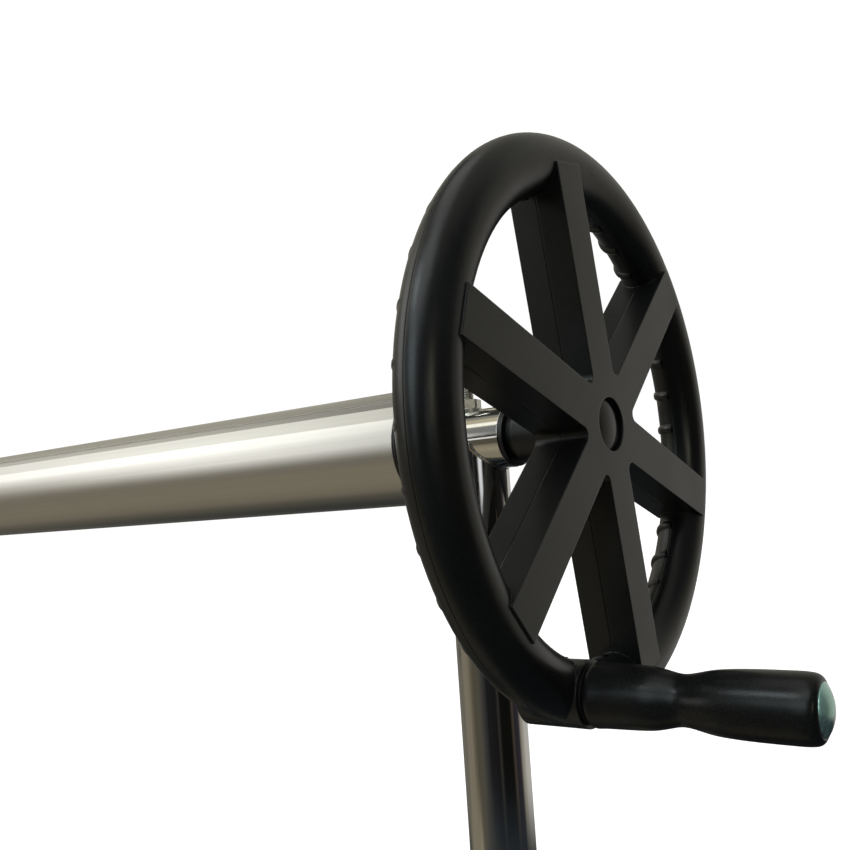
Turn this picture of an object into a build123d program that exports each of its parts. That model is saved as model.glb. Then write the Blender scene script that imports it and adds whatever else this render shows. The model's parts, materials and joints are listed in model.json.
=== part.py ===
"""Cover reel: a grooved tube carried by two inverted-T stands and turned by a spoked hand wheel.

Millimetres, +Z up, +X towards the hand wheel, origin on the floor under the middle of the reel.
"""
import os
from math import cos, radians, sin, sqrt, tan

from build123d import *

os.makedirs("parts", exist_ok=True)

# ---------------------------------------------------------------- driving dimensions
tube_length = 2000.0
tube_radius = 40.0
tube_wall = 2.5
axle_height = 500.0
shaft_radius = 12.5

# stations measured outwards from either end of the tube
plug_flange = 3.0
inner_bush_face = 4.0
sleeve_start = 7.0
sleeve_length = 62.0
sleeve_end = sleeve_start + sleeve_length
bush_flange = 3.0
bush_nose = 4.5
wheel_face = 138.0
grip_reach = 126.0
collar_start = sleeve_end + bush_flange + bush_nose + 1.0
collar_length = 14.5
stand_station = sleeve_start + sleeve_length / 2
lock_station = stand_station - 4.0

# the overall length is centred on the origin
overall_length = collar_start + collar_length + tube_length + wheel_face + grip_reach
drive_end = overall_length / 2 - wheel_face - grip_reach
far_end = drive_end - tube_length
wheel_x = drive_end + wheel_face

# stand
stand_tube_radius = 21.5
stand_tube_wall = 2.0
sleeve_radius = 20.0
sleeve_wall = 2.5
bar_length = 560.0
bar_height = 34.0
weld_size = 1.0
weld_top_drop = 3.0
foot_length = 58.0
foot_radius = 25.0
foot_underside = 5.0
pad_half_width = 19.0
pad_half_length = 24.0

# tube section: a shallow groove with a thicker wall behind it, beside a flat
groove_angle = 134.2
groove_width = 7.2
groove_depth = 1.3
groove_pad_width = 14.0
groove_pad_inside = 34.8
flat_angle = 147.0
flat_half_angle = 7.5

# bushes
bush_depth = 20.0
bush_flange_radius = 19.6
bush_nose_radius = 15.5
running_gap = 0.06

# hand wheel
wheel_split = -17.5
split_gap = 0.15
rim_radius = 157.2
rim_centre = -16.9
rim_axial = 15.9
rim_radial = 17.8
wheel_wall = 3.0
spoke_count = 6
spoke_width = 27.6
spoke_end_radius = 154.5
spoke_rear = -35.0
spoke_draft = 2.0
spoke_phase = 101.4
corner_fillet = 4.2
hub_boss_radius = 18.5
hub_boss_rear = -60.5
hub_collar_radius = 21.0
hub_bore = shaft_radius + 0.04
cap_recess_radius = 16.3
cap_recess_depth = 14.0
ridge_count = 36
ridge_centre = -17.8
ridge_radius = 156.4
ridge_axial = 16.4
ridge_radial = 18.2
ridge_width = 7.0
screw_circle = 96.0

# turning handle, on the rim midway between two spokes
handle_angle = spoke_phase - 210.0
handle_radius = 157.6
handle_boss_radius = 18.5
handle_boss_front = -0.4
handle_boss_rear = -38.0
nut_pocket_floor = -30.0
spindle_radius = 5.0
spindle_head_radius = 8.0
spindle_bore = spindle_radius + 0.04

grip_start = 1.25
grip_start_radius = 15.6
grip_end = 121.6
grip_bore = 5.08
grip_socket_radius = 9.5
grip_seat = 108.0
grip_cap_radius = 13.0
cap_plug_end = 117.0
handle_ring_radius = 16.2
handle_ring_height = 1.3
spindle_tip = -37.0
spindle_head_base = 108.3
spindle_head_height = 7.0
spindle_key = 6.0
spindle_key_depth = 3.5
spindle_nut_width = 16.0
spindle_nut_height = 6.0
grip_profile = (
    (1.9, 16.6),
    (3.2, 17.4),
    (7.0, 17.55),
    (19.0, 17.1),
    (28.0, 16.8),
    (36.5, 16.25),
    (45.0, 14.6),
    (52.0, 13.3),
    (58.5, 13.9),
    (66.0, 15.5),
    (79.5, 16.95),
    (90.0, 17.35),
    (107.0, 17.5),
    (116.0, 17.25),
    (119.9, 16.2),
    (121.6, 13.9),
)

# hub fastenings
hub_pin_station = -52.0
hub_pin_radius = 3.0
hub_bolt_radius = 4.0
hub_bolt_head = 5.5
hub_bolt_width = 13.0
hub_bolt_tip = -32.0
hub_washer_height = 2.0
cap_edge = -2.6
cap_edge_radius = 15.9
cap_top = -0.7
cap_inside = -6.0
cap_skirt_radius = 14.0

# screws joining the wheel's two shells
screw_boss_radius = 5.5
screw_pilot_radius = 2.05
screw_clear_radius = 2.3
screw_head_radius = 4.0
screw_head_height = 2.6
screw_slot_width = 0.9
screw_slot_depth = 1.4
screw_seat = -28.0
screw_tip = -7.0

# lock bolt on the drive side sleeve, and the pad it presses on the shaft
bolt_radius = 4.97
bolt_bore = 5.04
thread_pitch = 1.5
thread_depth = 0.8
thread_turns = 8
boss_radius = 10.3
boss_top = 21.0
nut_width = 17.0
nut_height = 6.0
nut_turn = -17.5
bolt_tip = 16.9
bolt_head_base = 38.0
bolt_head_height = 6.4
pad_radius = 4.7
pad_gap = 0.85


def station(x):
    """Plane across the axle at a position along X, with local x along Y and local y along Z."""
    return Plane(origin=(x, 0, axle_height), x_dir=(0, 1, 0), z_dir=(1, 0, 0))


def radial_plane(x, angle, distance):
    """Plane facing outwards from the axle, at an angle from +Y towards +Z."""
    y = distance * cos(radians(angle))
    z = distance * sin(radians(angle))
    return Plane(origin=(x, y, axle_height + z), x_dir=(1, 0, 0), z_dir=(0, y, z))


def handle_plane(x):
    """Plane across the handle's axis, measured from the front face of the hand wheel."""
    return Plane(origin=(wheel_x + x, handle_y, handle_z), x_dir=(0, 1, 0), z_dir=(1, 0, 0))


def dome_middle(edge, radius, top):
    """Halfway point of a round dome that rises from its edge to its top on the axis."""
    rise = top - edge
    curve = (radius**2 + rise**2) / (2 * rise)
    return (top - curve + sqrt(curve**2 - (radius / 2) ** 2), radius / 2)


def save(part, name):
    """Label one piece and write its file."""
    part.label = name
    export_step(part, f"parts/{name}.step")


ends = (("drive", 1, drive_end), ("far", -1, far_end))
axle_section = Plane(origin=(wheel_x, 0, axle_height), x_dir=(1, 0, 0), z_dir=(0, -1, 0))
axle_line = Axis((0, 0, axle_height), (1, 0, 0))
handle_y = handle_radius * cos(radians(handle_angle))
handle_z = axle_height + handle_radius * sin(radians(handle_angle))
handle_section = Plane(origin=(wheel_x, handle_y, handle_z), x_dir=(1, 0, 0), z_dir=(0, -1, 0))
handle_line = Axis((wheel_x, handle_y, handle_z), (1, 0, 0))
low = (Align.CENTER, Align.CENTER, Align.MIN)
high = (Align.CENTER, Align.CENTER, Align.MAX)
relief = (Align.MIN, Align.CENTER)


# ---------------------------------------------------------------- grooved tube
flat_distance = tube_radius * cos(radians(flat_half_angle))
groove_floor = tube_radius - groove_depth
groove_pad_middle = (tube_radius - tube_wall / 2 + groove_pad_inside) / 2
groove_pad_height = tube_radius - tube_wall / 2 - groove_pad_inside
plug_screw_angles = (-75.0, 0.0, 75.0)
plug_screw_inset = 12.0
plug_screw_radius = 2.5
plug_screw_head = 4.2
plug_screw_sink = 1.8
plug_screw_length = 14.0

with BuildPart() as tube:
    with BuildSketch(station(far_end)):
        Circle(tube_radius)
        Circle(tube_radius - tube_wall, mode=Mode.SUBTRACT)
        with PolarLocations(groove_pad_middle, 1, start_angle=groove_angle):
            Rectangle(groove_pad_height, groove_pad_width)
        with PolarLocations(groove_floor + groove_depth, 1, start_angle=groove_angle):
            Rectangle(2 * groove_depth, groove_width, mode=Mode.SUBTRACT)
        with PolarLocations(flat_distance + tube_wall, 1, start_angle=flat_angle):
            Rectangle(2 * tube_wall, tube_radius, mode=Mode.SUBTRACT)
    extrude(amount=tube_length)
    for end, sign, x_end in ends:
        for angle in plug_screw_angles:
            with Locations(radial_plane(x_end - sign * plug_screw_inset, angle, tube_radius)):
                Cylinder(plug_screw_radius + 0.1, 3 * tube_wall, mode=Mode.SUBTRACT)
                Cone(plug_screw_radius, plug_screw_head + 0.4, plug_screw_sink + 0.4, align=high,
                     mode=Mode.SUBTRACT)
save(tube.part, "tube")

# ---------------------------------------------------------------- tube end plugs, screws and shafts
plug_depth = 58.0
plug_edge = 0.9
plug_body_radius = tube_radius - tube_wall - 0.15
plug_face_radius = tube_radius - 0.4
shaft_tip = {"drive": wheel_face - 15.2, "far": collar_start + collar_length - 4.0}

for end, sign, x_end in ends:
    with BuildPart() as plug:
        with BuildSketch(station(x_end)):
            Circle(plug_face_radius)
        extrude(amount=sign * plug_flange)
        fillet(plug.faces().sort_by(Axis.X)[-1 if sign > 0 else 0].edges(), plug_edge)
        with BuildSketch(station(x_end)):
            Circle(plug_body_radius)
            with PolarLocations(groove_pad_inside - 0.3, 1, start_angle=groove_angle):
                Rectangle(2 * tube_wall, groove_pad_width + 0.6, align=relief, mode=Mode.SUBTRACT)
        extrude(amount=-sign * plug_depth)
        with BuildSketch(station(x_end + sign * plug_flange)):
            with PolarLocations(flat_distance + tube_wall - 0.3, 1, start_angle=flat_angle):
                Rectangle(2 * tube_wall, tube_radius)
        extrude(amount=-sign * (plug_flange + plug_depth), mode=Mode.SUBTRACT)
        with BuildSketch(station(x_end + sign * plug_flange)):
            Circle(shaft_radius + 0.03)
        extrude(amount=-sign * (plug_flange + plug_depth), mode=Mode.SUBTRACT)
        for angle in plug_screw_angles:
            with Locations(radial_plane(x_end - sign * plug_screw_inset, angle, tube_radius)):
                Cylinder(plug_screw_radius + 0.05, plug_screw_length + 2, align=high, mode=Mode.SUBTRACT)
    save(plug.part, f"tube_plug_{end}")

    with BuildPart() as plug_screws:
        for angle in plug_screw_angles:
            with Locations(radial_plane(x_end - sign * plug_screw_inset, angle, tube_radius - 0.4)):
                Cylinder(plug_screw_radius, plug_screw_length, align=high)
                Cone(plug_screw_radius, plug_screw_head, plug_screw_sink, align=high)
            with BuildSketch(radial_plane(x_end - sign * plug_screw_inset, angle, tube_radius - 0.4)):
                RegularPolygon(1.6, 6)
            extrude(amount=-1.4, mode=Mode.SUBTRACT)
    save(plug_screws.part, f"plug_screws_{end}")

    with BuildPart() as shaft:
        with BuildSketch(station(x_end - sign * (plug_depth - 2))):
            Circle(shaft_radius)
        extrude(amount=sign * (plug_depth - 2 + shaft_tip[end]))
        chamfer(shaft.edges().filter_by(GeomType.CIRCLE), 0.8)
        if end == "drive":
            with Locations(station(x_end + shaft_tip[end])):
                Cylinder(hub_bolt_radius + 0.05, 24, align=high, mode=Mode.SUBTRACT)
            with Locations(Plane(origin=(wheel_x + hub_pin_station, 0, axle_height))):
                Cylinder(hub_pin_radius + 0.02, 4 * shaft_radius, mode=Mode.SUBTRACT)
    save(shaft.part, f"shaft_{end}")

# ---------------------------------------------------------------- bearing sleeves and bushes
bush_bore = shaft_radius + running_gap
bush_radius = sleeve_radius - sleeve_wall - 0.03

for end, sign, x_end in ends:
    with BuildPart() as sleeve:
        with BuildSketch(station(x_end + sign * sleeve_start)):
            Circle(sleeve_radius)
            Circle(sleeve_radius - sleeve_wall, mode=Mode.SUBTRACT)
        extrude(amount=sign * sleeve_length)
        chamfer(sleeve.edges().filter_by(GeomType.CIRCLE).group_by(SortBy.RADIUS)[-1], 0.6)
        if end == "drive":
            with Locations((x_end + lock_station, 0, axle_height)):
                Cylinder(bolt_bore, sleeve_radius + 2, align=low, mode=Mode.SUBTRACT)
    save(sleeve.part, f"sleeve_{end}")

    bush_places = (("inner", sleeve_start, -1), ("outer", sleeve_end, 1))
    for place, mouth, facing in bush_places:
        with BuildPart() as bush:
            with BuildSketch(station(x_end + sign * mouth)):
                Circle(bush_flange_radius)
            extrude(amount=sign * facing * bush_flange)
            fillet(bush.edges().filter_by(GeomType.CIRCLE), 0.7)
            if place == "outer":
                with BuildSketch(station(x_end + sign * mouth)):
                    Circle(bush_nose_radius)
                extrude(amount=sign * (bush_flange + bush_nose))
            with BuildSketch(station(x_end + sign * mouth)):
                Circle(bush_radius)
            extrude(amount=-sign * facing * bush_depth)
            with BuildSketch(station(x_end + sign * (mouth - facing * (bush_depth + 1)))):
                Circle(bush_bore)
            extrude(amount=sign * facing * (bush_depth + bush_flange + bush_nose + 2), mode=Mode.SUBTRACT)
        save(bush.part, f"bush_{end}_{place}")

# ---------------------------------------------------------------- stands
bar_tube = stand_tube_radius
upright_top = axle_height - weld_top_drop

for end, sign, x_end in ends:
    stand_x = x_end + sign * stand_station
    sleeve_line = station(stand_x - sleeve_length)
    bar_line = Plane(origin=(stand_x, -bar_length / 2, bar_height), x_dir=(1, 0, 0), z_dir=(0, 1, 0))
    floor_plane = Plane(origin=(stand_x, 0, bar_height))

    with BuildPart() as upright:
        with BuildSketch(floor_plane):
            Circle(stand_tube_radius)
            Circle(stand_tube_radius - stand_tube_wall, mode=Mode.SUBTRACT)
        extrude(amount=upright_top - bar_height)
        with BuildSketch(sleeve_line):
            Circle(sleeve_radius)
        extrude(amount=2 * sleeve_length, mode=Mode.SUBTRACT)
        with BuildSketch(bar_line):
            Circle(bar_tube)
        extrude(amount=bar_length, mode=Mode.SUBTRACT)
    upright_solid = upright.solids().sort_by(SortBy.VOLUME)[-1]
    save(Part(upright_solid.wrapped), f"upright_{end}")

    with BuildPart() as foot_bar:
        with BuildSketch(bar_line):
            Circle(bar_tube)
            Circle(bar_tube - stand_tube_wall, mode=Mode.SUBTRACT)
        extrude(amount=bar_length)
    save(foot_bar.part, f"foot_bar_{end}")

    with BuildPart() as weld_top:
        with BuildSketch(floor_plane):
            Circle(stand_tube_radius + weld_size)
        extrude(amount=upright_top - bar_height)
        with BuildSketch(sleeve_line):
            Circle(sleeve_radius + weld_size)
        extrude(amount=2 * sleeve_length, mode=Mode.INTERSECT)
        with BuildSketch(sleeve_line):
            Circle(sleeve_radius)
        extrude(amount=2 * sleeve_length, mode=Mode.SUBTRACT)
        with BuildSketch(floor_plane):
            Circle(stand_tube_radius)
        extrude(amount=axle_height, mode=Mode.SUBTRACT)
    save(weld_top.part, f"weld_top_{end}")

    with BuildPart() as weld_foot:
        with BuildSketch(floor_plane):
            Circle(stand_tube_radius + weld_size)
        extrude(amount=3 * bar_tube)
        with BuildSketch(bar_line):
            Circle(bar_tube + weld_size + 0.3)
        extrude(amount=bar_length, mode=Mode.INTERSECT)
        with BuildSketch(bar_line):
            Circle(bar_tube)
        extrude(amount=bar_length, mode=Mode.SUBTRACT)
        with BuildSketch(floor_plane):
            Circle(stand_tube_radius)
        extrude(amount=axle_height, mode=Mode.SUBTRACT)
    save(weld_foot.part, f"weld_foot_{end}")

    for place, side in (("front", -1), ("back", 1)):
        foot_y = side * (bar_length / 2 + 4)
        cap_plane = Plane(origin=(stand_x, foot_y, bar_height), x_dir=(1, 0, 0), z_dir=(0, -side, 0))
        with BuildPart() as foot:
            with BuildSketch(cap_plane):
                Circle(foot_radius)
            extrude(amount=foot_length)
            with BuildSketch(cap_plane):
                with Locations((0, -side * (bar_height - foot_underside) / 2)):
                    Rectangle(2 * foot_radius, bar_height - foot_underside)
            extrude(amount=foot_length)
            fillet(foot.faces().sort_by(Axis.Y)[-1 if side > 0 else 0].edges(), 2.0)
            with BuildSketch(cap_plane.offset(4)):
                Circle(bar_tube + 0.05)
            extrude(amount=foot_length, mode=Mode.SUBTRACT)
            pad_centre = (stand_x, foot_y - side * foot_length / 2, foot_underside)
            with BuildSketch(Plane(origin=pad_centre)):
                RectangleRounded(2 * pad_half_width + 0.2, 2 * pad_half_length + 0.2, 4)
            extrude(amount=2.5, mode=Mode.SUBTRACT)
        save(foot.part, f"foot_{end}_{place}")

        with BuildPart() as pad:
            with BuildSketch(Plane(origin=(stand_x, foot_y - side * foot_length / 2, 0))):
                RectangleRounded(2 * pad_half_width, 2 * pad_half_length, 4)
            extrude(amount=foot_underside + 2.4)
            chamfer(pad.faces().sort_by(Axis.Z)[0].edges(), 0.8)
        save(pad.part, f"floor_pad_{end}_{place}")

# ---------------------------------------------------------------- lock bolt, nut, boss and brake pad
lock_x = drive_end + lock_station

with BuildPart() as lock_boss:
    with Locations((lock_x, 0, axle_height + boss_top)):
        Cylinder(boss_radius, 9, align=high)
    chamfer(lock_boss.faces().sort_by(Axis.Z)[-1].edges(), 0.5)
    with BuildSketch(station(lock_x - sleeve_length)):
        Circle(sleeve_radius)
    extrude(amount=2 * sleeve_length, mode=Mode.SUBTRACT)
    with Locations((lock_x, 0, axle_height)):
        Cylinder(bolt_bore, 2 * sleeve_radius, align=low, mode=Mode.SUBTRACT)
save(lock_boss.part, "lock_boss")

with BuildPart() as lock_nut:
    with BuildSketch(Plane(origin=(lock_x, 0, axle_height + boss_top))):
        RegularPolygon(nut_width / 2, 6, major_radius=False, rotation=nut_turn)
    extrude(amount=nut_height)
    with BuildSketch(Plane(origin=(lock_x, 0, axle_height + boss_top))):
        Circle(nut_width / 2 + 0.9)
    extrude(amount=nut_height, mode=Mode.INTERSECT)
    with Locations((lock_x, 0, axle_height + boss_top - 1)):
        Cylinder(bolt_bore, nut_height + 2, align=low, mode=Mode.SUBTRACT)
    chamfer(lock_nut.edges().filter_by(GeomType.CIRCLE).group_by(SortBy.RADIUS)[0], 0.5)
save(lock_nut.part, "lock_nut")

bolt_section = Plane(origin=(lock_x, 0, axle_height), x_dir=(1, 0, 0), z_dir=(0, -1, 0))

with BuildPart() as lock_bolt:
    with BuildSketch(bolt_section):
        with BuildLine():
            outline = [(0, bolt_tip), (bolt_radius - 0.5, bolt_tip), (bolt_radius, bolt_tip + 0.5)]
            for turn in range(thread_turns):
                crest = boss_top + turn * thread_pitch
                outline.append((bolt_radius, crest))
                outline.append((bolt_radius - thread_depth, crest + thread_pitch / 2))
            outline.append((bolt_radius, boss_top + thread_turns * thread_pitch))
            outline.append((bolt_radius, bolt_head_base))
            outline.append((0, bolt_head_base))
            Polyline(*outline, close=True)
        make_face()
    revolve(axis=Axis((lock_x, 0, axle_height), (0, 0, 1)))
    with BuildSketch(Plane(origin=(lock_x, 0, axle_height + bolt_head_base))):
        RegularPolygon(nut_width / 2, 6, major_radius=False, rotation=20)
    extrude(amount=bolt_head_height)
    head_top = lock_bolt.faces().sort_by(Axis.Z)[-1]
    chamfer(head_top.edges(), 0.7)
save(lock_bolt.part, "lock_bolt")

with BuildPart() as brake_pad:
    with Locations((lock_x, 0, axle_height + shaft_radius + pad_gap)):
        Cylinder(pad_radius, bolt_tip - 0.05 - shaft_radius - pad_gap, align=low)
    chamfer(brake_pad.edges().filter_by(GeomType.CIRCLE), 0.4)
save(brake_pad.part, "brake_pad")

# ---------------------------------------------------------------- far end collar
collar_x = far_end - collar_start

with BuildPart() as far_collar:
    with BuildSketch(station(collar_x)):
        Circle(hub_boss_radius)
    extrude(amount=-collar_length)
    fillet(far_collar.faces().sort_by(Axis.X)[0].edges(), 3.0)
    with BuildSketch(station(collar_x)):
        Circle(shaft_radius + 0.03)
    extrude(amount=-(collar_length - 3.5), mode=Mode.SUBTRACT)
    with Locations(radial_plane(collar_x - collar_length / 2, 90, hub_boss_radius)):
        Cylinder(3.05, 5.9, align=high, mode=Mode.SUBTRACT)
save(far_collar.part, "far_collar")

with BuildPart() as collar_screw:
    screw_plane = radial_plane(collar_x - collar_length / 2, 90, hub_boss_radius - 0.6)
    with Locations(screw_plane):
        Cylinder(3.0, 5.25, align=high)
    with BuildSketch(screw_plane):
        RegularPolygon(1.7, 6)
    extrude(amount=-3, mode=Mode.SUBTRACT)
save(collar_screw.part, "collar_screw")

# ---------------------------------------------------------------- hand wheel, two shells
split_front = wheel_split + split_gap
split_rear = wheel_split - split_gap
draft_growth = -wheel_split * tan(radians(spoke_draft))
split_width = spoke_width + 2 * draft_growth
split_reach = spoke_end_radius + draft_growth
hollow_width = split_width - 2 * wheel_wall
shells = (("front", 1, split_front, 0.0), ("rear", -1, split_rear, spoke_rear))


def rim_half(sign, split, offset):
    """Half of the rim's oval section on one side of the split, in the plane through the axle."""
    with Locations((rim_centre, rim_radius)):
        Ellipse(rim_axial - offset, rim_radial - offset)
    with Locations((split - sign * 2 * rim_axial, rim_radius)):
        Rectangle(4 * rim_axial, 4 * rim_radial, mode=Mode.SUBTRACT)


def spoke_bars(width, reach):
    """One bar for each spoke, from the axle outwards."""
    with PolarLocations(reach / 2, spoke_count, start_angle=spoke_phase):
        Rectangle(reach, width)


def inner_corners(sketch, width):
    """The corners between neighbouring spokes."""
    return [v for v in sketch.vertices() if Vector(v.X, v.Y).length < width * 1.2]


with BuildPart() as ridge:
    with BuildSketch(axle_section):
        with Locations((ridge_centre, ridge_radius)):
            Ellipse(ridge_axial, ridge_radial)
    extrude(amount=ridge_width / 2, both=True)
    fillet(ridge.edges(), ridge_width * 0.42)
    with BuildSketch(station(wheel_x + split_rear)):
        Rectangle(8 * rim_radius, 8 * rim_radius)
    extrude(amount=4 * rim_axial, mode=Mode.SUBTRACT)

for side, sign, split, outer_x in shells:
    with BuildPart() as wheel:
        with BuildSketch(axle_section):
            rim_half(sign, split, 0)
        revolve(axis=axle_line)
        if side == "rear":
            for step in range(ridge_count):
                turn = spoke_phase - 90 + step * 360.0 / ridge_count
                add(ridge.part.rotate(axle_line, turn))
        with BuildSketch(station(wheel_x + split)) as star:
            spoke_bars(split_width, split_reach)
            fillet(inner_corners(star, split_width), corner_fillet)
        extrude(amount=outer_x - split, taper=spoke_draft)
        # the shell is hollow, open at the split
        with BuildSketch(axle_section):
            rim_half(sign, split, wheel_wall)
        revolve(axis=axle_line, mode=Mode.SUBTRACT)
        with BuildSketch(station(wheel_x + split)) as hollow:
            spoke_bars(hollow_width, split_reach)
            fillet(inner_corners(hollow, hollow_width), corner_fillet / 2)
        extrude(amount=outer_x - split - sign * wheel_wall, taper=spoke_draft, mode=Mode.SUBTRACT)
        if side == "front":
            with BuildSketch(station(wheel_x + split)):
                Circle(hub_collar_radius)
                with PolarLocations(screw_circle, spoke_count, start_angle=spoke_phase):
                    Circle(screw_boss_radius)
            extrude(amount=-split - 1)
            with BuildSketch(station(wheel_x)):
                Circle(cap_recess_radius)
            extrude(amount=-cap_recess_depth, mode=Mode.SUBTRACT)
            with BuildSketch(station(wheel_x + split)):
                with PolarLocations(screw_circle, spoke_count, start_angle=spoke_phase):
                    Circle(screw_pilot_radius)
            extrude(amount=screw_tip - split + 0.6, mode=Mode.SUBTRACT)
            with BuildSketch(handle_plane(split)):
                Circle(handle_boss_radius)
            extrude(amount=handle_boss_front - split)
        else:
            with BuildSketch(station(wheel_x + split)):
                Circle(hub_boss_radius)
            extrude(amount=hub_boss_rear - split)
            with BuildSketch(station(wheel_x + split)):
                with PolarLocations(screw_circle, spoke_count, start_angle=spoke_phase):
                    Circle(screw_boss_radius + 1)
            extrude(amount=spoke_rear - split + 1)
            with BuildSketch(station(wheel_x + spoke_rear)):
                with PolarLocations(screw_circle, spoke_count, start_angle=spoke_phase):
                    Circle(screw_head_radius + 0.3)
            extrude(amount=screw_seat - spoke_rear, mode=Mode.SUBTRACT)
            with BuildSketch(station(wheel_x + spoke_rear)):
                with PolarLocations(screw_circle, spoke_count, start_angle=spoke_phase):
                    Circle(screw_clear_radius)
            extrude(amount=split - spoke_rear, mode=Mode.SUBTRACT)
            with BuildSketch(handle_plane(split)):
                Circle(handle_boss_radius)
            extrude(amount=handle_boss_rear - split)
            with BuildSketch(handle_plane(handle_boss_rear)):
                RegularPolygon(spindle_nut_width / 2 + 0.2, 6, major_radius=False)
            extrude(amount=nut_pocket_floor - handle_boss_rear, mode=Mode.SUBTRACT)
            with Locations(Plane(origin=(wheel_x + hub_pin_station, 0, axle_height))):
                Cylinder(hub_pin_radius + 0.03, 3 * hub_boss_radius, mode=Mode.SUBTRACT)
        with BuildSketch(station(wheel_x)):
            Circle(hub_bore)
        extrude(amount=hub_boss_rear, mode=Mode.SUBTRACT)
        with BuildSketch(handle_plane(0)):
            Circle(spindle_bore)
        extrude(amount=handle_boss_rear, mode=Mode.SUBTRACT)
    save(wheel.part, f"wheel_{side}")

# ---------------------------------------------------------------- screws holding the two shells together
with BuildPart() as wheel_screws:
    with BuildSketch(station(wheel_x + screw_seat)):
        with PolarLocations(screw_circle, spoke_count, start_angle=spoke_phase):
            Circle(screw_head_radius)
    extrude(amount=-screw_head_height)
    with BuildSketch(station(wheel_x + screw_seat - screw_head_height)):
        with PolarLocations(screw_circle, spoke_count, start_angle=spoke_phase):
            Rectangle(screw_head_radius * 1.1, screw_slot_width)
            Rectangle(screw_slot_width, screw_head_radius * 1.1)
    extrude(amount=screw_slot_depth, mode=Mode.SUBTRACT)
    with BuildSketch(station(wheel_x + screw_seat)):
        with PolarLocations(screw_circle, spoke_count, start_angle=spoke_phase):
            Circle(screw_pilot_radius - 0.03)
    extrude(amount=screw_tip - screw_seat)
save(wheel_screws.part, "wheel_screws")

# ---------------------------------------------------------------- hub: cross pin, washer, centre bolt and cap
with BuildPart() as hub_pin:
    with Locations(Plane(origin=(wheel_x + hub_pin_station, 0, axle_height))):
        Cylinder(hub_pin_radius, 2 * hub_boss_radius - 0.6)
    chamfer(hub_pin.edges().filter_by(GeomType.CIRCLE), 0.5)
save(hub_pin.part, "hub_pin")

with BuildPart() as hub_washer:
    with BuildSketch(station(wheel_x - cap_recess_depth)):
        Circle(cap_recess_radius - 1.3)
        Circle(hub_bolt_radius + 0.2, mode=Mode.SUBTRACT)
    extrude(amount=hub_washer_height)
save(hub_washer.part, "hub_washer")

with BuildPart() as hub_bolt:
    with BuildSketch(station(wheel_x - cap_recess_depth + hub_washer_height)):
        RegularPolygon(hub_bolt_width / 2, 6, major_radius=False)
    extrude(amount=hub_bolt_head)
    with BuildSketch(axle_section):
        with BuildLine():
            bolt_seat = -cap_recess_depth + hub_washer_height
            Polyline(
                (bolt_seat, 0),
                (bolt_seat, hub_bolt_radius),
                (hub_bolt_tip + 1, hub_bolt_radius),
                (hub_bolt_tip, hub_bolt_radius - 1),
                (hub_bolt_tip, 0),
                close=True,
            )
        make_face()
    revolve(axis=axle_line)
save(hub_bolt.part, "hub_bolt")

with BuildPart() as hub_cap:
    with BuildSketch(axle_section):
        with BuildLine():
            cap_foot = -cap_recess_depth + hub_washer_height
            Polyline(
                (cap_inside, 0),
                (cap_inside, cap_skirt_radius),
                (cap_foot, cap_skirt_radius),
                (cap_foot, cap_edge_radius - 0.3),
                (cap_edge - 1.2, cap_edge_radius),
                (cap_edge, cap_edge_radius - 0.5),
            )
            ThreePointArc(
                (cap_edge, cap_edge_radius - 0.5),
                dome_middle(cap_edge, cap_edge_radius - 0.5, cap_top),
                (cap_top, 0),
            )
            Line((cap_top, 0), (cap_inside, 0))
        make_face()
    revolve(axis=axle_line)
save(hub_cap.part, "hub_cap")

# ---------------------------------------------------------------- handle: fixed spindle, nut and ring
with BuildPart() as spindle:
    with BuildSketch(handle_section):
        with BuildLine():
            Polyline(
                (spindle_tip, 0),
                (spindle_tip, spindle_radius - 1),
                (spindle_tip + 1, spindle_radius),
                (spindle_head_base, spindle_radius),
                (spindle_head_base, spindle_head_radius),
                (spindle_head_base + spindle_head_height - 1, spindle_head_radius),
                (spindle_head_base + spindle_head_height, spindle_head_radius - 1),
                (spindle_head_base + spindle_head_height, 0),
                close=True,
            )
        make_face()
    revolve(axis=handle_line)
    with BuildSketch(handle_plane(spindle_head_base + spindle_head_height)):
        RegularPolygon(spindle_key / 2, 6, major_radius=False)
    extrude(amount=-spindle_key_depth, mode=Mode.SUBTRACT)
save(spindle.part, "spindle")

with BuildPart() as spindle_nut:
    with BuildSketch(handle_plane(nut_pocket_floor)):
        RegularPolygon(spindle_nut_width / 2, 6, major_radius=False)
        Circle(spindle_radius, mode=Mode.SUBTRACT)
    extrude(amount=-spindle_nut_height)
save(spindle_nut.part, "spindle_nut")

with BuildPart() as handle_ring:
    with BuildSketch(handle_plane(handle_boss_front)):
        Circle(handle_ring_radius)
        Circle(spindle_bore, mode=Mode.SUBTRACT)
    extrude(amount=handle_ring_height)
save(handle_ring.part, "handle_ring")

# ---------------------------------------------------------------- handle: turning grip and its end cap
with BuildPart() as grip:
    with BuildSketch(handle_section):
        with BuildLine():
            Spline(*grip_profile)
            Polyline(
                grip_profile[-1],
                (grip_end, grip_socket_radius),
                (grip_seat, grip_socket_radius),
                (grip_seat, grip_bore),
                (grip_start, grip_bore),
                (grip_start, grip_start_radius),
                grip_profile[0],
            )
        make_face()
    revolve(axis=handle_line)
save(grip.part, "grip")

with BuildPart() as grip_cap:
    with BuildSketch(handle_section):
        with BuildLine():
            Polyline(
                (cap_plug_end, 0),
                (cap_plug_end, grip_socket_radius - 0.05),
                (grip_end, grip_socket_radius - 0.05),
                (grip_end, grip_cap_radius),
                (grip_end + 0.5, grip_cap_radius),
            )
            ThreePointArc(
                (grip_end + 0.5, grip_cap_radius),
                dome_middle(grip_end + 0.5, grip_cap_radius, grip_reach),
                (grip_reach, 0),
            )
            Line((grip_reach, 0), (cap_plug_end, 0))
        make_face()
    revolve(axis=handle_line)
save(grip_cap.part, "grip_cap")
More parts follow.
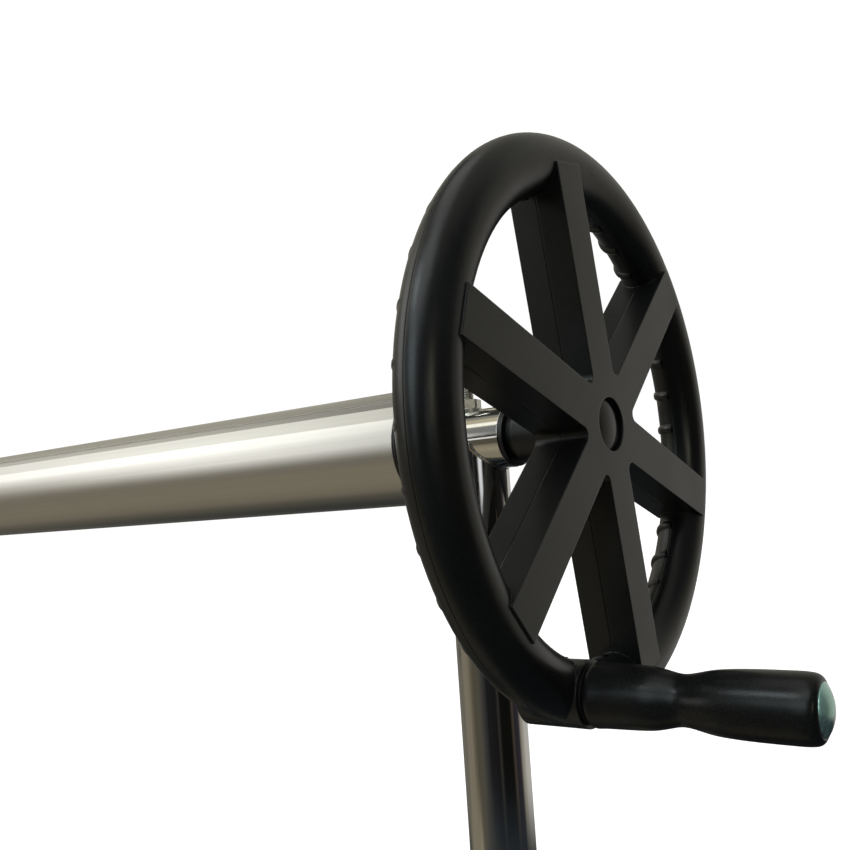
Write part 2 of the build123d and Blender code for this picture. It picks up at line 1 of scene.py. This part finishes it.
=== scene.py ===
"""Looks of the cover reel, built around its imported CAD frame. Metres, +Z up, +X towards the hand wheel."""

import json
from math import cos, pi, radians, sin

import bpy
from mathutils import Matrix, Vector


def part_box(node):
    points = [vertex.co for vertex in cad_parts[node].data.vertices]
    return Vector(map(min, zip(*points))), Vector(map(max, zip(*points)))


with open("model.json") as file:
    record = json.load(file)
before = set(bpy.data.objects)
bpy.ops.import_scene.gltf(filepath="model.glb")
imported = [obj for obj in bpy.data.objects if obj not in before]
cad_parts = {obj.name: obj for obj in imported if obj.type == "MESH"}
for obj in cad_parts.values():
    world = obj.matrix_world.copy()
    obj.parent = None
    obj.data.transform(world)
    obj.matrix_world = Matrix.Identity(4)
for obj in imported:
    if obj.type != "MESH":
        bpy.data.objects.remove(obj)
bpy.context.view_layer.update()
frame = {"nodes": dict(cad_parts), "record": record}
nodes = frame["nodes"]

# ------------------------------------------------------------------ places read from the frame
wheel_low, wheel_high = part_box("wheel_front")
hub = Vector((wheel_high[0], 0.0, (wheel_low[2] + wheel_high[2]) / 2))
grip_middle = [(low + high) / 2 for low, high in zip(*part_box("grip_cap"))]


# ------------------------------------------------------------------ small node toolkit
class Nodes:
    """Builds one material's node tree."""

    def __init__(self, name):
        self.material = bpy.data.materials.new(name)
        self.material.use_nodes = True
        self.tree = self.material.node_tree
        self.tree.nodes.clear()
        self.output = self.tree.nodes.new("ShaderNodeOutputMaterial")
        self.shader = self.tree.nodes.new("ShaderNodeBsdfPrincipled")
        self.tree.links.new(self.shader.outputs["BSDF"], self.output.inputs["Surface"])
        self.place = self.tree.nodes.new("ShaderNodeTexCoord").outputs["Object"]

    def link(self, source, target):
        self.tree.links.new(source, target)

    def put(self, target, value):
        """Links a socket to the target, or sets a plain value."""
        if isinstance(value, bpy.types.NodeSocket):
            self.link(value, target)
        else:
            target.default_value = value

    def scaled(self, scale):
        """Object coordinates times one scale or a scale for each axis."""
        node = self.tree.nodes.new("ShaderNodeMapping")
        node.inputs["Scale"].default_value = scale if hasattr(scale, "__len__") else (scale,) * 3
        self.link(self.place, node.inputs["Vector"])
        return node.outputs["Vector"]

    def noise(self, scale, detail=3.0, rough=0.5, distort=0.0):
        node = self.tree.nodes.new("ShaderNodeTexNoise")
        node.inputs["Scale"].default_value = 1.0
        node.inputs["Detail"].default_value = detail
        node.inputs["Roughness"].default_value = rough
        node.inputs["Distortion"].default_value = distort
        self.link(self.scaled(scale), node.inputs["Vector"])
        return node.outputs["Fac"]

    def cells(self, scale):
        node = self.tree.nodes.new("ShaderNodeTexVoronoi")
        node.inputs["Scale"].default_value = 1.0
        self.link(self.scaled(scale), node.inputs["Vector"])
        return node.outputs["Distance"]

    def ramp(self, value, low, high, out_low=0.0, out_high=1.0):
        """Smooth change from out_low to out_high while value goes from low to high."""
        node = self.tree.nodes.new("ShaderNodeMapRange")
        node.interpolation_type = "SMOOTHSTEP"
        self.link(value, node.inputs["Value"])
        for key, number in zip(("From Min", "From Max", "To Min", "To Max"), (low, high, out_low, out_high)):
            node.inputs[key].default_value = number
        return node.outputs["Result"]

    def math(self, kind, first, second=0.0):
        node = self.tree.nodes.new("ShaderNodeMath")
        node.operation = kind
        self.put(node.inputs[0], first)
        self.put(node.inputs[1], second)
        return node.outputs[0]

    def mix(self, factor, first, second):
        """Colour between first and second."""
        node = self.tree.nodes.new("ShaderNodeMix")
        node.data_type = "RGBA"
        self.put(node.inputs["Factor"], factor)
        for socket, value in ((node.inputs[6], first), (node.inputs[7], second)):
            self.put(socket, value if isinstance(value, bpy.types.NodeSocket) else (*value, 1.0))
        return node.outputs[2]

    def axis(self, which):
        node = self.tree.nodes.new("ShaderNodeSeparateXYZ")
        self.link(self.place, node.inputs[0])
        return node.outputs["XYZ".index(which)]

    def edges(self, radius):
        """(rounded normal, how far the surface is bent there from 0 to 1)."""
        bevel = self.tree.nodes.new("ShaderNodeBevel")
        bevel.samples = 6
        bevel.inputs["Radius"].default_value = radius
        flat = self.tree.nodes.new("ShaderNodeNewGeometry").outputs["Normal"]
        dot = self.tree.nodes.new("ShaderNodeVectorMath")
        dot.operation = "DOT_PRODUCT"
        self.link(bevel.outputs["Normal"], dot.inputs[0])
        self.link(flat, dot.inputs[1])
        return bevel.outputs["Normal"], self.ramp(dot.outputs["Value"], 0.995, 0.80)

    def bump(self, height, distance, strength=1.0, normal=None):
        node = self.tree.nodes.new("ShaderNodeBump")
        node.inputs["Distance"].default_value = distance
        node.inputs["Strength"].default_value = strength
        self.link(height, node.inputs["Height"])
        if normal is not None:
            self.link(normal, node.inputs["Normal"])
        return node.outputs["Normal"]

    def set(self, **values):
        names = {
            "color": "Base Color", "metal": "Metallic", "rough": "Roughness", "normal": "Normal",
            "coat": "Coat Weight", "coat_rough": "Coat Roughness", "specular": "Specular IOR Level",
        }
        for key, value in values.items():
            if key == "color" and not isinstance(value, bpy.types.NodeSocket):
                value = (*value, 1.0)
            self.put(self.shader.inputs[names[key]], value)
        return self.material


# ------------------------------------------------------------------ materials
def moulded_plastic(name, dark, light, rough, grain=0.00002, edge=0.0006, specular=0.5):
    """Black moulded plastic: fine spark-eroded grain, slow random tone changes, faint scuffs, and rounded
    edges paled as a painted highlight.
    """
    n = Nodes(name)
    worn_tone_and_edge_highlight = (0.040, 0.040, 0.037)
    rounded, bent = n.edges(edge)
    slow = n.noise(18, 4)
    fine = n.noise(900, 2, 0.6)
    grain_height = n.noise(2600, 3, 0.6)
    scuffs = n.ramp(n.noise((70, 240, 120), 6, 0.7, 0.6), 0.60, 0.74)
    shade = n.mix(n.ramp(slow, 0.32, 0.68), dark, light)
    shade = n.mix(n.math("MULTIPLY", n.ramp(fine, 0.3, 0.7), 0.16), shade, worn_tone_and_edge_highlight)
    # painted edge highlight: rounded edges mixed towards the pale tone that elsewhere also gives the random
    # worn flecks
    shade = n.mix(n.math("MULTIPLY", bent, 0.45), shade, worn_tone_and_edge_highlight)
    roughness = n.math("ADD", n.ramp(slow, 0.25, 0.75, rough - 0.04, rough + 0.04),
                       n.math("MULTIPLY", scuffs, 0.06))
    roughness = n.math("SUBTRACT", roughness, n.math("MULTIPLY", bent, 0.10))
    height = n.math("ADD", grain_height, n.math("MULTIPLY", n.noise(140, 3), 1.2))
    return n.set(color=shade, rough=roughness, normal=n.bump(height, grain, 1.0, rounded), specular=specular)


def polished_steel(name, tint=(0.80, 0.785, 0.755), rough=0.05):
    """Polished stainless: hairline polishing marks, faint smears and small waviness of the drawn tube."""
    n = Nodes(name)
    rounded, bent = n.edges(0.0005)
    hair = n.noise((900, 900, 14), 4, 0.65)
    wave = n.noise((26, 26, 9), 2)
    smear = n.ramp(n.noise((34, 34, 21), 5, 0.62, 0.8), 0.46, 0.72)
    spots = n.ramp(n.cells(310), 0.09, 0.02)
    shade = n.mix(n.ramp(hair, 0.3, 0.7), tint, tuple(c * 0.93 for c in tint))
    shade = n.mix(n.math("MULTIPLY", smear, 0.25), shade, tuple(c * 0.86 for c in tint))
    roughness = n.math("ADD", n.ramp(hair, 0.25, 0.75, rough, rough + 0.05),
                       n.math("MULTIPLY", smear, 0.06))
    roughness = n.math("ADD", roughness, n.math("MULTIPLY", spots, 0.12))
    height = n.math("ADD", hair, n.math("MULTIPLY", wave, 22.0))
    return n.set(color=shade, metal=1.0, rough=roughness,
                 normal=n.bump(height, 0.0000012, 1.0, rounded))


def anodised_tube(name):
    """Extruded aluminium with a satin anodised skin: die lines along X and a soft cloudy sheen."""
    n = Nodes(name)
    rounded, bent = n.edges(0.0006)
    die = n.noise((1.2, 1500, 1500), 4, 0.7)
    broad = n.noise((0.7, 160, 160), 3, 0.6)
    satin = n.noise((260, 2400, 2400), 2, 0.6)
    cloud = n.noise((5, 30, 30), 4)
    shade = n.mix(n.ramp(die, 0.3, 0.7), (0.72, 0.71, 0.68), (0.66, 0.65, 0.62))
    shade = n.mix(n.math("MULTIPLY", n.ramp(cloud, 0.35, 0.7), 0.25), shade, (0.60, 0.585, 0.55))
    marks = n.ramp(n.noise((3.0, 420, 420), 5, 0.7), 0.66, 0.74)
    shade = n.mix(n.math("MULTIPLY", marks, 0.12), shade, (0.50, 0.49, 0.46))
    roughness = n.math("ADD", n.ramp(broad, 0.3, 0.7, 0.30, 0.36), n.math("MULTIPLY", marks, 0.06))
    height = n.math("ADD", n.math("ADD", die, n.math("MULTIPLY", satin, 0.5)), n.math("MULTIPLY", broad, 3.0))
    return n.set(color=shade, metal=1.0, rough=roughness,
                 normal=n.bump(height, 0.0000035, 1.0, rounded))


def machined(name, tint, rough):
    """Turned or sawn metal: fine tool lines, small pits and a painted highlight on the edges."""
    n = Nodes(name)
    rounded, bent = n.edges(0.0003)
    tool = n.noise((2200, 240, 240), 3, 0.6)
    pits = n.ramp(n.cells(900), 0.16, 0.05)
    cloud = n.noise(120, 4)
    shade = n.mix(n.ramp(tool, 0.3, 0.7), tint, tuple(c * 0.85 for c in tint))
    shade = n.mix(n.math("MULTIPLY", n.ramp(cloud, 0.4, 0.7), 0.3), shade,
                  tuple(c * 0.72 for c in tint))
    # painted edge highlight: rounded edges mixed towards a brighter tint
    shade = n.mix(n.math("MULTIPLY", bent, 0.4), shade, tuple(min(1.0, c * 1.15) for c in tint))
    roughness = n.math("ADD", n.ramp(tool, 0.25, 0.75, rough, rough + 0.08),
                       n.math("MULTIPLY", pits, 0.15))
    height = n.math("SUBTRACT", tool, n.math("MULTIPLY", pits, 0.6))
    return n.set(color=shade, metal=1.0, rough=roughness,
                 normal=n.bump(height, 0.000002, 1.0, rounded))


def weld_bead(name):
    """Brushed weld: overlapping ripples with a straw and blue heat tint in random patches."""
    n = Nodes(name)
    ripple = n.noise((420, 420, 420), 2)
    cloud = n.noise(90, 4)
    shade = n.mix(n.ramp(cloud, 0.35, 0.65), (0.56, 0.54, 0.50), (0.42, 0.37, 0.30))
    shade = n.mix(n.ramp(n.noise(45, 2), 0.56, 0.72), shade, (0.33, 0.35, 0.42))
    return n.set(color=shade, metal=1.0, rough=n.ramp(ripple, 0.3, 0.7, 0.24, 0.42),
                 normal=n.bump(ripple, 0.0004, 1.0))


def pad_rubber(name):
    """Matt rubber with dust in its pores and a painted highlight on its rounded edges."""
    n = Nodes(name)
    rounded, bent = n.edges(0.0008)
    pores = n.noise(1500, 3, 0.7)
    dust = n.ramp(n.noise(60, 5, 0.7), 0.50, 0.72)
    shade = n.mix(n.ramp(pores, 0.3, 0.7), (0.016, 0.016, 0.016), (0.028, 0.028, 0.027))
    shade = n.mix(n.math("MULTIPLY", dust, 0.35), shade, (0.075, 0.072, 0.066))
    # painted edge highlight: rounded edges mixed towards a paler grey
    shade = n.mix(n.math("MULTIPLY", bent, 0.3), shade, (0.06, 0.06, 0.058))
    return n.set(color=shade, rough=n.ramp(pores, 0.3, 0.7, 0.72, 0.86),
                 normal=n.bump(pores, 0.00006, 1.0, rounded), specular=0.35)


def pearl_cap_with_painted_sheen(name):
    """Glossy teal end cap under a clear gloss: a random pearl swirl and pale flakes, overlaid with painted
    light, a painted pale mint reflection towards the top and painted deep blue shade towards the bottom; the
    rounded edge is mixed towards a mid teal.
    """
    n = Nodes(name)
    rounded, bent = n.edges(0.0004)
    swirl = n.noise((75, 60, 60), 5, 0.62, 1.4)
    flake = n.cells(5200)
    # painted light: colour rises with object height, pale mint reflection above and deep blue shade below,
    # mixed with the random swirl
    painted_top_light = n.ramp(n.axis("Z"), grip_middle[2] - 0.006, grip_middle[2] + 0.004)
    swirl_and_painted_top_light = n.math("ADD", n.math("MULTIPLY", n.ramp(swirl, 0.30, 0.70), 0.45),
                   n.math("MULTIPLY", painted_top_light, 0.75))
    shade = n.mix(n.ramp(swirl_and_painted_top_light, 0.25, 0.85), (0.014, 0.045, 0.13), (0.50, 0.90, 0.79))
    shade = n.mix(n.math("MULTIPLY", n.ramp(flake, 0.10, 0.45), 0.35), shade, (0.52, 0.82, 0.76))
    shade = n.mix(n.math("MULTIPLY", bent, 0.5), shade, (0.30, 0.52, 0.50))
    wave = n.noise(160, 3)
    return n.set(color=shade, metal=0.55, rough=n.ramp(swirl, 0.3, 0.7, 0.16, 0.26),
                 normal=n.bump(wave, 0.00003, 1.0, rounded), coat=0.6, coat_rough=0.06)


finishes = {
    "anodised_tube": anodised_tube("anodised_tube"),
    "polished_stainless": polished_steel("polished_stainless"),
    "weld_bead": weld_bead("weld_bead"),
    "stainless_hardware": machined("stainless_hardware", (0.80, 0.79, 0.72), 0.30),
    "shaft_steel": machined("shaft_steel", (0.58, 0.57, 0.55), 0.22),
    "plug_plastic": moulded_plastic("plug_plastic", (0.005, 0.0055, 0.006), (0.008, 0.0085, 0.009), 0.36),
    "bush_plastic": moulded_plastic("bush_plastic", (0.003, 0.0035, 0.004), (0.005, 0.0055, 0.006), 0.40),
    "wheel_plastic": moulded_plastic("wheel_plastic", (0.0045, 0.0056, 0.0064), (0.0066, 0.0078, 0.0086),
                                     0.31, edge=0.0011, grain=0.000022),
    "grip_plastic": moulded_plastic("grip_plastic", (0.0060, 0.0068, 0.0074), (0.0088, 0.0096, 0.0102),
                                    0.28, edge=0.0007, grain=0.000012, specular=0.28),
    "cap_plastic": pearl_cap_with_painted_sheen("cap_plastic"),
    "foot_plastic": moulded_plastic("foot_plastic", (0.018, 0.0185, 0.019), (0.026, 0.0265, 0.027), 0.46),
    "pad_rubber": pad_rubber("pad_rubber"),
    "pad_brass": machined("pad_brass", (0.74, 0.54, 0.26), 0.28),
    "collar_aluminium": machined("collar_aluminium", (0.74, 0.73, 0.71), 0.26),
}
# the hub cap has its own glossier look
glossier = {
    "hub_cap": moulded_plastic("hub_cap_plastic", (0.004, 0.0048, 0.0056), (0.0058, 0.0066, 0.0074), 0.16,
                               specular=0.3),
}
for entry in frame["record"]["subparts"]:
    mesh = nodes[entry["node"]].data
    mesh.materials.clear()
    mesh.materials.append(glossier.get(entry["node"], finishes[entry["material_slot"]]))


# ------------------------------------------------------------------ floor, studio and camera
def floor_material():
    """Pale studio floor, a little darker and warmer to reflections than to the eye."""
    n = Nodes("studio_floor")
    seen = n.tree.nodes.new("ShaderNodeLightPath").outputs["Is Camera Ray"]
    fine = n.noise(3, 4)
    shade = n.mix(seen, (0.40, 0.37, 0.32), (0.86, 0.86, 0.86))
    n.set(color=shade, rough=n.ramp(fine, 0.3, 0.7, 0.85, 0.95), specular=0.1)
    n.put(n.shader.inputs["Emission Color"], (1.0, 1.0, 1.0, 1.0))
    n.put(n.shader.inputs["Emission Strength"], n.math("MULTIPLY", seen, 0.80))
    return n.material


reach = 60.0
floor_gap = 0.0002
floor_mesh = bpy.data.meshes.new("studio_floor")
corners = [(-reach, -reach), (reach, -reach), (reach, reach), (-reach, reach)]
floor_mesh.from_pydata([(x, y, -floor_gap) for x, y in corners], [], [(0, 1, 2, 3)])
floor = bpy.data.objects.new("studio_floor", floor_mesh)
bpy.context.scene.collection.objects.link(floor)
floor_mesh.materials.append(floor_material())
floor.visible_glossy = False


# tones of the room by the direction round the object, in degrees from +X towards +Y
low_walls = (
    (-180, (0.15, 0.14, 0.115)), (-164, (0.225, 0.20, 0.155)), (-145, (0.215, 0.19, 0.14)),
    (-132, (0.13, 0.115, 0.085)), (-122, (0.085, 0.077, 0.056)), (-104, (0.085, 0.079, 0.062)),
    (-90, (0.045, 0.044, 0.044)), (-78, (0.013, 0.013, 0.015)), (-48, (0.009, 0.009, 0.010)),
    (-41, (0.035, 0.032, 0.029)), (-34, (0.005, 0.005, 0.005)), (2, (0.005, 0.005, 0.004)),
    (11, (0.060, 0.048, 0.036)), (18, (0.022, 0.020, 0.026)), (36, (0.030, 0.026, 0.034)),
    (46, (0.30, 0.28, 0.23)), (60, (0.42, 0.41, 0.37)), (70, (0.50, 0.49, 0.46)),
    (100, (0.48, 0.47, 0.45)), (135, (0.15, 0.15, 0.142)), (168, (0.17, 0.155, 0.125)),
)
high_walls = (
    (-180, (0.36, 0.34, 0.27)), (-140, (0.28, 0.27, 0.23)), (-125, (0.19, 0.20, 0.20)),
    (-80, (0.16, 0.17, 0.18)), (-50, (0.06, 0.065, 0.07)), (30, (0.07, 0.075, 0.08)),
    (52, (0.34, 0.33, 0.29)), (66, (0.42, 0.41, 0.37)), (100, (0.44, 0.43, 0.38)),
    (120, (0.44, 0.42, 0.34)), (140, (0.52, 0.50, 0.41)), (160, (0.42, 0.40, 0.33)),
)
floor_tones = (
    (-180, (0.23, 0.205, 0.155)), (-140, (0.25, 0.22, 0.16)), (-131, (0.34, 0.30, 0.215)),
    (-121, (0.12, 0.11, 0.085)), (-100, (0.06, 0.062, 0.06)), (-55, (0.022, 0.028, 0.034)),
    (80, (0.022, 0.028, 0.034)), (130, (0.03, 0.033, 0.034)), (158, (0.05, 0.05, 0.045)),
    (172, (0.10, 0.092, 0.074)),
)
ceiling = (0.26, 0.255, 0.225)
# heights (as Z of a unit direction) over which one band of the room fades into the next
low_to_high = (0.10, 0.28)
high_to_ceiling = (0.66, 0.84)
low_to_floor = (-0.29, -0.38)
# soft boxes: (round, rise) in degrees, inner and outer half angle, colour
soft_boxes = (
    ((-150, 52), 3, 9, (0.52, 0.47, 0.33)),
    ((-138, 41), 3, 8, (1.20, 1.18, 1.05)),
    ((-168, 39), 8, 15, (1.18, 1.18, 1.10)),
    ((-152, 26), 10, 18, (2.00, 2.00, 1.92)),
    ((-138, 10), 5, 15, (1.50, 1.49, 1.42)),
    ((-124, 5), 1.5, 4, (0.03, 0.03, 0.035)),
    ((-124, 0), 1.0, 3.0, (1.10, 1.10, 1.08)),
    ((-96, 4), 4, 10, (0.80, 0.88, 0.92)),
    ((-97, 24), 7, 18, (1.75, 2.05, 2.15)),
    ((-82, 55), 10, 22, (1.45, 1.50, 1.52)),
    ((163, 56), 7, 13, (0.030, 0.030, 0.028)),
    ((146, 51), 6, 11, (0.035, 0.035, 0.032)),
    ((127, 24), 4, 10, (0.05, 0.05, 0.047)),
    ((-46, 5), 3, 9, (0.80, 0.83, 0.85)),
    ((6, -4), 2, 5, (0.22, 0.18, 0.13)),
    ((-30, 13), 4, 9, (2.6, 2.45, 1.95)),
    ((-114, 47), 4, 9, (5.5, 6.0, 6.2)),
)


def studio_world():
    """White backdrop to the eye; for light and reflections a soft room of pale panels and darker gaps."""
    world = bpy.data.worlds.new("studio")
    world.use_nodes = True
    tree = world.node_tree
    tree.nodes.clear()
    link = tree.links.new
    direction = tree.nodes.new("ShaderNodeTexCoord").outputs["Generated"]
    split = tree.nodes.new("ShaderNodeSeparateXYZ")
    link(direction, split.inputs[0])

    def put(socket, value):
        if isinstance(value, bpy.types.NodeSocket):
            link(value, socket)
        else:
            socket.default_value = value

    def number(kind, first, second=0.0):
        node = tree.nodes.new("ShaderNodeMath")
        node.operation = kind
        put(node.inputs[0], first)
        put(node.inputs[1], second)
        return node.outputs[0]

    def step(value, low, high):
        node = tree.nodes.new("ShaderNodeMapRange")
        node.interpolation_type = "SMOOTHSTEP"
        link(value, node.inputs["Value"])
        node.inputs["From Min"].default_value = low
        node.inputs["From Max"].default_value = high
        return node.outputs["Result"]

    def blend(factor, first, second):
        """Colour between first and second."""
        node = tree.nodes.new("ShaderNodeMix")
        node.data_type = "RGBA"
        put(node.inputs["Factor"], factor)
        put(node.inputs[6], first)
        put(node.inputs[7], second)
        return node.outputs[2]

    def around(tones):
        """Colour by the direction round the object."""
        ramp = tree.nodes.new("ShaderNodeValToRGB")
        link(round_place, ramp.inputs["Fac"])
        ring = ramp.color_ramp
        while len(ring.elements) > 1:
            ring.elements.remove(ring.elements[0])
        stops = [*tones, (180, tones[0][1])]
        for index, (degrees_round, tone) in enumerate(stops):
            place = degrees_round / 360 + 0.5
            element = ring.elements[0] if index == 0 else ring.elements.new(place)
            element.position = place
            element.color = (*tone, 1)
        return ramp.outputs["Color"]

    turn = number("ARCTAN2", split.outputs["Y"], split.outputs["X"])
    round_place = number("ADD", number("MULTIPLY", turn, 1 / (2 * pi)), 0.5)
    height = split.outputs["Z"]
    colour = blend(step(height, *low_to_high), around(low_walls), around(high_walls))
    colour = blend(step(height, *high_to_ceiling), colour, (*ceiling, 1))
    colour = blend(step(height, *low_to_floor), colour, around(floor_tones))
    for (round_deg, rise_deg), inner, outer, tint in soft_boxes:
        aim = tree.nodes.new("ShaderNodeVectorMath")
        aim.operation = "DOT_PRODUCT"
        link(direction, aim.inputs[0])
        aim.inputs[1].default_value = (
            cos(radians(rise_deg)) * cos(radians(round_deg)),
            cos(radians(rise_deg)) * sin(radians(round_deg)),
            sin(radians(rise_deg)),
        )
        inside = step(aim.outputs["Value"], cos(radians(outer)), cos(radians(inner)))
        colour = blend(inside, colour, (*tint, 1))
    room = tree.nodes.new("ShaderNodeBackground")
    link(colour, room.inputs["Color"])
    backdrop = tree.nodes.new("ShaderNodeBackground")
    backdrop.inputs["Color"].default_value = (1, 1, 1, 1)
    backdrop.inputs["Strength"].default_value = 1.05
    seen = tree.nodes.new("ShaderNodeLightPath").outputs["Is Camera Ray"]
    choose = tree.nodes.new("ShaderNodeMixShader")
    link(seen, choose.inputs[0])
    link(room.outputs[0], choose.inputs[1])
    link(backdrop.outputs[0], choose.inputs[2])
    output = tree.nodes.new("ShaderNodeOutputWorld")
    link(choose.outputs[0], output.inputs["Surface"])
    bpy.context.scene.world = world


def panel(name, place, target, size, power):
    """A soft rectangular light at a place, facing a target."""
    light = bpy.data.lights.new(name, "AREA")
    light.shape = "RECTANGLE"
    light.size, light.size_y = size
    light.energy = power
    lamp = bpy.data.objects.new(name, light)
    facing = (place - target).to_track_quat("Z", "Y").to_matrix().to_4x4()
    lamp.matrix_world = Matrix.Translation(place) @ facing
    bpy.context.scene.collection.objects.link(lamp)


studio_world()
panel("top_panel", hub + Vector((-0.3, -0.2, 2.2)), hub, (1.6, 1.0), 3)

camera_data = bpy.data.cameras.new("camera")
camera_data.sensor_width = 36.0
camera_data.lens = 37.48
camera_data.shift_x = -0.0744
camera_data.shift_y = 0.0379
camera_data.clip_start = 0.02
camera_data.clip_end = 200.0
camera = bpy.data.objects.new("camera", camera_data)
yaw, pitch, roll = radians(33.508), radians(2.916), radians(-4.071)
forward = Vector((-sin(yaw) * cos(pitch), cos(yaw) * cos(pitch), sin(pitch)))
level = Vector((cos(yaw), sin(yaw), 0.0))
rise = level.cross(forward)
right = level * cos(roll) + rise * sin(roll)
up = rise * cos(roll) - level * sin(roll)
eye = hub + Vector((0.22943, -0.48268, -0.04146))
camera.matrix_world = Matrix((
    (right.x, up.x, -forward.x, eye.x),
    (right.y, up.y, -forward.y, eye.y),
    (right.z, up.z, -forward.z, eye.z),
    (0, 0, 0, 1),
))
bpy.context.scene.collection.objects.link(camera)
bpy.context.scene.camera = camera
bpy.context.scene.view_settings.view_transform = "Standard"
